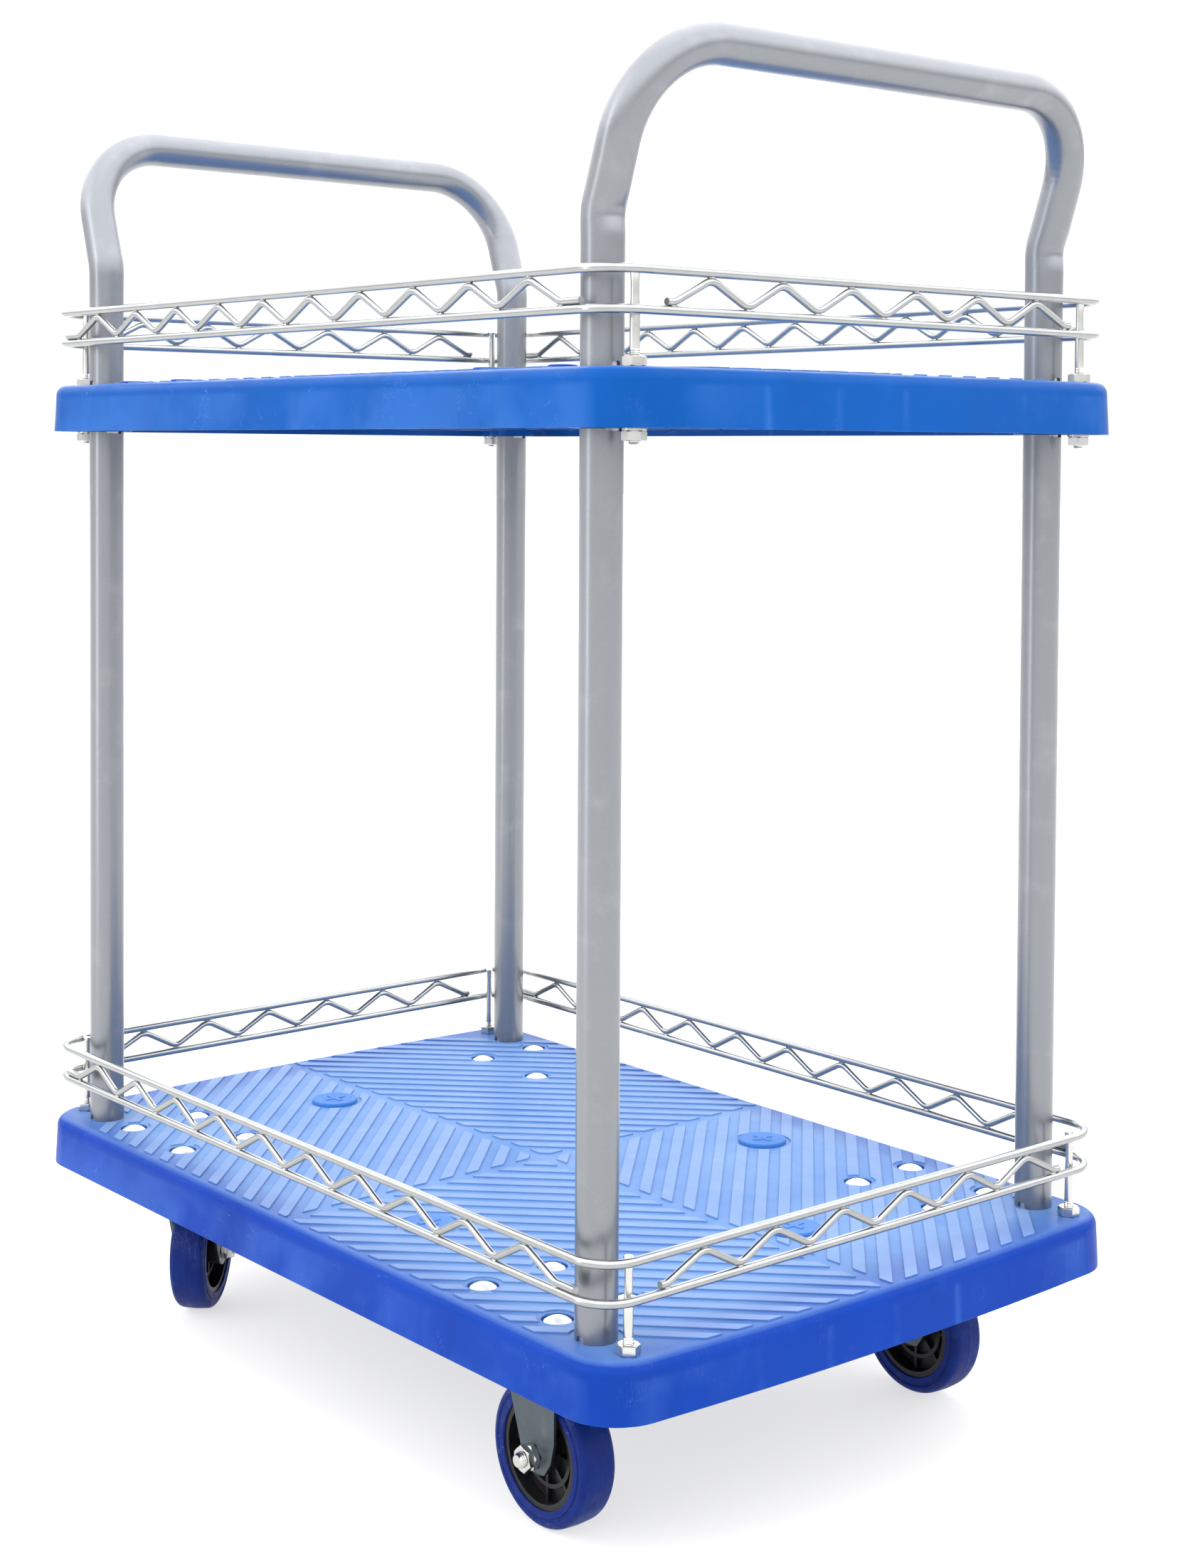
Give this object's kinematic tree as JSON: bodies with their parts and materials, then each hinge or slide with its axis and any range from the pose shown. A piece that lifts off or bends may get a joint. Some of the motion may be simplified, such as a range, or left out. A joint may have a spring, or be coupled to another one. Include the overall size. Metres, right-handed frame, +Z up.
{
  "type": "two-tier platform cart",
  "caption": "Two-tier plastic platform cart with tube posts, a tube handle over each end, wire rails round both decks, and fixed and swivel casters.",
  "frame": {"origin": "on the floor, under the middle of the cart", "axes": "+Z up, +X along the cart's length towards the fixed casters, +Y to the left"},
  "size_m": [0.7658, 0.5, 0.993],
  "materials": {
    "deck_plastic": "satin moulded plastic",
    "cap_plastic": "satin moulded plastic",
    "plug_plastic": "satin moulded plastic",
    "tube_paint": "silver paint",
    "zinc_wire": "bright zinc plate",
    "bolt_steel": "bright zinc plate",
    "fastener_zinc": "bright zinc plate",
    "sleeve_steel": "plain steel",
    "plug_steel": "plain steel",
    "ball_steel": "polished",
    "caster_steel": "zinc plate",
    "tyre_rubber": "blue rubber",
    "hub_plastic": "black plastic"
  },
  "bodies": {
    "frame": {"caster_bolts": "bolt_steel", "caster_nuts": "fastener_zinc", "caster_washers": "fastener_zinc", "handle_front": "tube_paint", "handle_rear": "tube_paint", "joint_studs": "fastener_zinc", "lower_deck": "deck_plastic", "lower_deck_caps": "cap_plastic", "lower_rail_bottom_wire": "zinc_wire", "lower_rail_end_zigzags": "zinc_wire", "lower_rail_side_zigzags": "zinc_wire", "lower_rail_studs": "fastener_zinc", "lower_rail_top_wire": "zinc_wire", "post_bolts": "fastener_zinc", "post_front_left": "tube_paint", "post_front_right": "tube_paint", "post_rear_left": "tube_paint", "post_rear_right": "tube_paint", "post_washers": "fastener_zinc", "rail_nuts": "fastener_zinc", "rail_washers": "fastener_zinc", "rigid_axle_bolts": "fastener_zinc", "rigid_axle_nuts": "fastener_zinc", "rigid_axle_sleeves": "sleeve_steel", "rigid_fork_left": "caster_steel", "rigid_fork_right": "caster_steel", "swivel_plate_left": "caster_steel", "swivel_plate_right": "caster_steel", "tube_plugs": "plug_steel", "upper_deck": "deck_plastic", "upper_deck_caps": "cap_plastic", "upper_deck_plugs": "plug_plastic", "upper_rail_bottom_wire": "zinc_wire", "upper_rail_end_zigzags": "zinc_wire", "upper_rail_side_zigzags": "zinc_wire", "upper_rail_studs": "fastener_zinc", "upper_rail_top_wire": "zinc_wire"},
    "swivel_left": {"swivel_fork_left": "caster_steel", "kingpin_left": "caster_steel", "race_balls_left": "ball_steel", "swivel_axle_sleeve_left": "sleeve_steel", "swivel_axle_bolt_left": "fastener_zinc", "swivel_axle_nuts_left": "fastener_zinc"},
    "swivel_right": {"swivel_fork_right": "caster_steel", "kingpin_right": "caster_steel", "race_balls_right": "ball_steel", "swivel_axle_sleeve_right": "sleeve_steel", "swivel_axle_bolt_right": "fastener_zinc", "swivel_axle_nuts_right": "fastener_zinc"},
    "wheel_front_left": {"hub_front_left": "hub_plastic", "tyre_front_left": "tyre_rubber"},
    "wheel_front_right": {"hub_front_right": "hub_plastic", "tyre_front_right": "tyre_rubber"},
    "wheel_rear_left": {"hub_rear_left": "hub_plastic", "tyre_rear_left": "tyre_rubber"},
    "wheel_rear_right": {"hub_rear_right": "hub_plastic", "tyre_rear_right": "tyre_rubber"}
  },
  "joints": [
    {"name": "swivel_turn_left", "type": "hinge", "parent": "frame", "child": "swivel_left", "pos_m": [-0.24, 0.182, 0.11], "axis": [0, 0, 1], "continuous": true},
    {"name": "swivel_turn_right", "type": "hinge", "parent": "frame", "child": "swivel_right", "pos_m": [-0.24, -0.182, 0.11], "axis": [0, 0, 1], "continuous": true},
    {"name": "wheel_spin_front_left", "type": "hinge", "parent": "frame", "child": "wheel_front_left", "pos_m": [0.24, 0.182, 0.05], "axis": [0, 1, 0], "continuous": true},
    {"name": "wheel_spin_rear_left", "type": "hinge", "parent": "swivel_left", "child": "wheel_rear_left", "pos_m": [-0.26405, 0.15657, 0.05], "axis": [0.7266, -0.6871, 0], "continuous": true},
    {"name": "wheel_spin_front_right", "type": "hinge", "parent": "frame", "child": "wheel_front_right", "pos_m": [0.24, -0.182, 0.05], "axis": [0, 1, 0], "continuous": true},
    {"name": "wheel_spin_rear_right", "type": "hinge", "parent": "swivel_right", "child": "wheel_rear_right", "pos_m": [-0.26405, -0.15657, 0.05], "axis": [-0.7266, -0.6871, 0], "continuous": true}
  ]
}
